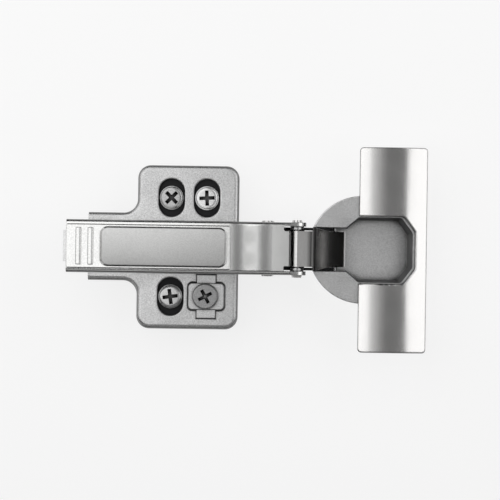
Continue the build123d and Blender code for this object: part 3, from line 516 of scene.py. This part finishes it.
# the turned screw with its thread, copied to each spot and turned there
def screwTree(material, sizes):
    tree, enter, leave = newTree("screws", sizes)
    body = tree.nodes.new("GeometryNodeObjectInfo")
    body.inputs["Object"].default_value = blank
    spiral = spiralCurve(tree, enter, threadMesh["steps"])
    thread = sweptSection(tree, spiral, enter.outputs["Tooth"], threadMesh["sides"])
    drop = tree.nodes.new("GeometryNodeTransform")
    lift = tree.nodes.new("ShaderNodeCombineXYZ")
    tree.links.new(enter.outputs["Bottom"], lift.inputs["Z"])
    tree.links.new(thread, drop.inputs["Geometry"])
    tree.links.new(lift.outputs["Vector"], drop.inputs["Translation"])
    join = tree.nodes.new("GeometryNodeJoinGeometry")
    tree.links.new(body.outputs["Geometry"], join.inputs["Geometry"])
    tree.links.new(drop.outputs["Geometry"], join.inputs["Geometry"])
    turn = tree.nodes.new("GeometryNodeInputNamedAttribute")
    turn.data_type = "FLOAT"
    turn.inputs["Name"].default_value = "turn"
    spin = tree.nodes.new("ShaderNodeCombineXYZ")
    tree.links.new(turn.outputs["Attribute"], spin.inputs["Z"])
    copies = tree.nodes.new("GeometryNodeInstanceOnPoints")
    tree.links.new(enter.outputs["Geometry"], copies.inputs["Points"])
    tree.links.new(join.outputs["Geometry"], copies.inputs["Instance"])
    tree.links.new(spin.outputs["Vector"], copies.inputs["Rotation"])
    endTree(tree, leave, copies.outputs["Instances"], material)
    return tree


spots = bpy.data.meshes.new("screwSpots")
spots.from_pydata([(x * mm, y * mm, 0) for x, y, degrees, shade in screwSizes["copies"]], [], [])
turns = spots.attributes.new("turn", "FLOAT", "POINT")
copyTone = spots.attributes.new("copyTone", "FLOAT", "POINT")
for k, (x, y, degrees, shade) in enumerate(screwSizes["copies"]):
    turns.data[k].value = math.radians(degrees)
    copyTone.data[k].value = shade
systemScrews = runTree("systemScrews", spots, screwTree(screwSteel, threadSizes), threadSizes)
systemScrews.data.shade_smooth()
systemScrews.data.set_sharp_from_angle(angle=math.radians(threadMesh["sharp"]))
bpy.data.objects.remove(blank)
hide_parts("euro_screws")
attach(systemScrews, "base")
print("stage screws", len(systemScrews.data.polygons), "faces")


# the studio is in metres: two softboxes overhead, with strips that fade into the dim gap between them
# each box has its left and right ends along X and its share of the level
studio = {"level": 1.1, "height": 0.30, "near": -0.09, "far": 0.50,
          "boxes": ((-0.60, 0.014, 1.0), (0.014, 0.032, 0.45), (0.032, 0.050, 0.34), (0.050, 0.068, 0.18),
                    (0.068, 0.152, 0.10), (0.152, 0.70, 1.0))}
lens = {"middle": (0.0256, -0.00057), "height": 0.505, "roll": 0.85, "focal": 111.5, "clip": 0.01}


# a lamp whose face has its share of the level, unseen by the lens that looks down between the boxes
def softbox(name, wide, deep, share):
    lamp = bpy.data.lights.new(name, "AREA")
    lamp.shape = "RECTANGLE"
    lamp.size, lamp.size_y = wide, deep
    lamp.energy = studio["level"] * share * math.pi * lamp.size * lamp.size_y
    holder = bpy.data.objects.new(name, lamp)
    holder.visible_camera = False
    scene.collection.objects.link(holder)
    return holder


near, far = studio["near"], studio["far"]
for left, right, share in studio["boxes"]:
    strip = softbox("softbox", right - left, far - near, share)
    strip.location = ((left + right) / 2, (near + far) / 2, studio["height"])

# an upright box at the near side fills what the others leave dark when the hinge is seen from behind
wallSizes = {"away": -0.50, "low": 0.17, "high": 0.60, "wide": 1.3, "share": 0.25}
low, high = wallSizes["low"], wallSizes["high"]
wallBox = softbox("wallBox", wallSizes["wide"], high - low, wallSizes["share"])
wallBox.location = (lens["middle"][0], wallSizes["away"], (low + high) / 2)
wallBox.rotation_euler.x = math.radians(90)

# low black cards at three sides draw rounded edges dark; only mirrored light meets them
cards = {"left": -0.10, "right": 0.15, "far": 0.12, "low": -0.011, "high": 0.045, "rightHigh": 0.008}
west, east, away = cards["left"], cards["right"], cards["far"]
nearCard = ((west, -away), (east, -away), cards["high"])
farCard = ((east, away), (west, away), cards["high"])
rightCard = ((east, -away), (east, away), cards["rightHigh"])
cardSpots, cardFaces = [], []
for start, end, high in (nearCard, farCard, rightCard):
    first = len(cardSpots)
    cardSpots += [(*start, cards["low"]), (*end, cards["low"]), (*end, high), (*start, high)]
    cardFaces.append(tuple(range(first, first + 4)))
cardMesh = bpy.data.meshes.new("cards")
cardMesh.from_pydata(cardSpots, [], cardFaces)
blackCard = darkSkin("black_card", {"colour": (0.012, 0.012, 0.012), "rough": 0.9, "grain": 900})
cardMesh.materials.append(blackCard)
cardRing = bpy.data.objects.new("cards", cardMesh)
scene.collection.objects.link(cardRing)
cardRing.visible_camera = cardRing.visible_diffuse = cardRing.visible_shadow = False

# the room is pale at the horizon and dim overhead
room = {"sky": 0.75, "overhead": 0.05, "fade": (0.08, 0.20)}
world = bpy.data.worlds.new("studio")
scene.world = world
world.use_nodes = True
worldTree = world.node_tree
way = worldTree.nodes.new("ShaderNodeTexCoord")
climb = worldTree.nodes.new("ShaderNodeSeparateXYZ")
worldTree.links.new(way.outputs["Generated"], climb.inputs["Vector"])
fade = rampNode(worldTree, climb.outputs["Z"], *room["fade"], room["sky"], room["overhead"])
worldTree.links.new(fade, worldTree.nodes["Background"].inputs["Color"])

paperLook = {"white": 0.80, "shade": 0.25, "glow": 0.785, "half": 2.0, "drop": 0.0002}


def mixShaders(tree, share, first, second):
    mixed = tree.nodes.new("ShaderNodeMixShader")
    for socket, value in zip(mixed.inputs, (share, first, second)):
        tree.links.new(value, socket)
    return mixed.outputs["Shader"]


# white paper that keeps the shadow, and that the lens looks through from below
def whitePaper(look):
    mat, tree = newMaterial("paper")
    tree.nodes.remove(tree.nodes["Principled BSDF"])
    bounce = tree.nodes.new("ShaderNodeBsdfDiffuse")
    bounce.inputs["Color"].default_value = grey(look["white"])
    shade = tree.nodes.new("ShaderNodeBsdfDiffuse")
    shade.inputs["Color"].default_value = grey(look["shade"])
    glow = tree.nodes.new("ShaderNodeEmission")
    glow.inputs["Color"].default_value = grey(look["glow"])
    seen = tree.nodes.new("ShaderNodeAddShader")
    tree.links.new(shade.outputs["BSDF"], seen.inputs[0])
    tree.links.new(glow.outputs["Emission"], seen.inputs[1])
    rays = tree.nodes.new("ShaderNodeLightPath").outputs
    direct = mathNode(tree, "MAXIMUM", rays["Is Camera Ray"], rays["Is Glossy Ray"])
    anyRay = mathNode(tree, "MAXIMUM", direct, rays["Is Transmission Ray"])
    either = mixShaders(tree, anyRay, bounce.outputs["BSDF"], seen.outputs["Shader"])
    face = tree.nodes.new("ShaderNodeNewGeometry")
    below = mathNode(tree, "MULTIPLY", rays["Is Camera Ray"], face.outputs["Backfacing"])
    clear = tree.nodes.new("ShaderNodeBsdfTransparent")
    through = mixShaders(tree, below, either, clear.outputs["BSDF"])
    tree.links.new(through, tree.nodes["Material Output"].inputs["Surface"])
    return mat


half = paperLook["half"]
floorMesh = bpy.data.meshes.new("floor")
floorSpots = [(-half, -half, 0), (half, -half, 0), (half, half, 0), (-half, half, 0)]
floorMesh.from_pydata(floorSpots, [], [(0, 1, 2, 3)])
floorMesh.materials.append(whitePaper(paperLook))
floor = bpy.data.objects.new("floor", floorMesh)
floor.location.z = cadBounds[0][2] - paperLook["drop"]
scene.collection.objects.link(floor)

eye = bpy.data.cameras.new("camera")
eye.lens = lens["focal"]
eye.clip_start = lens["clip"]
camera = bpy.data.objects.new("camera", eye)
camera.location = (*lens["middle"], lens["height"])
camera.rotation_euler.z = math.radians(lens["roll"])
scene.collection.objects.link(camera)
scene.camera = camera
scene.view_settings.view_transform = "Standard"
print("stage studio")
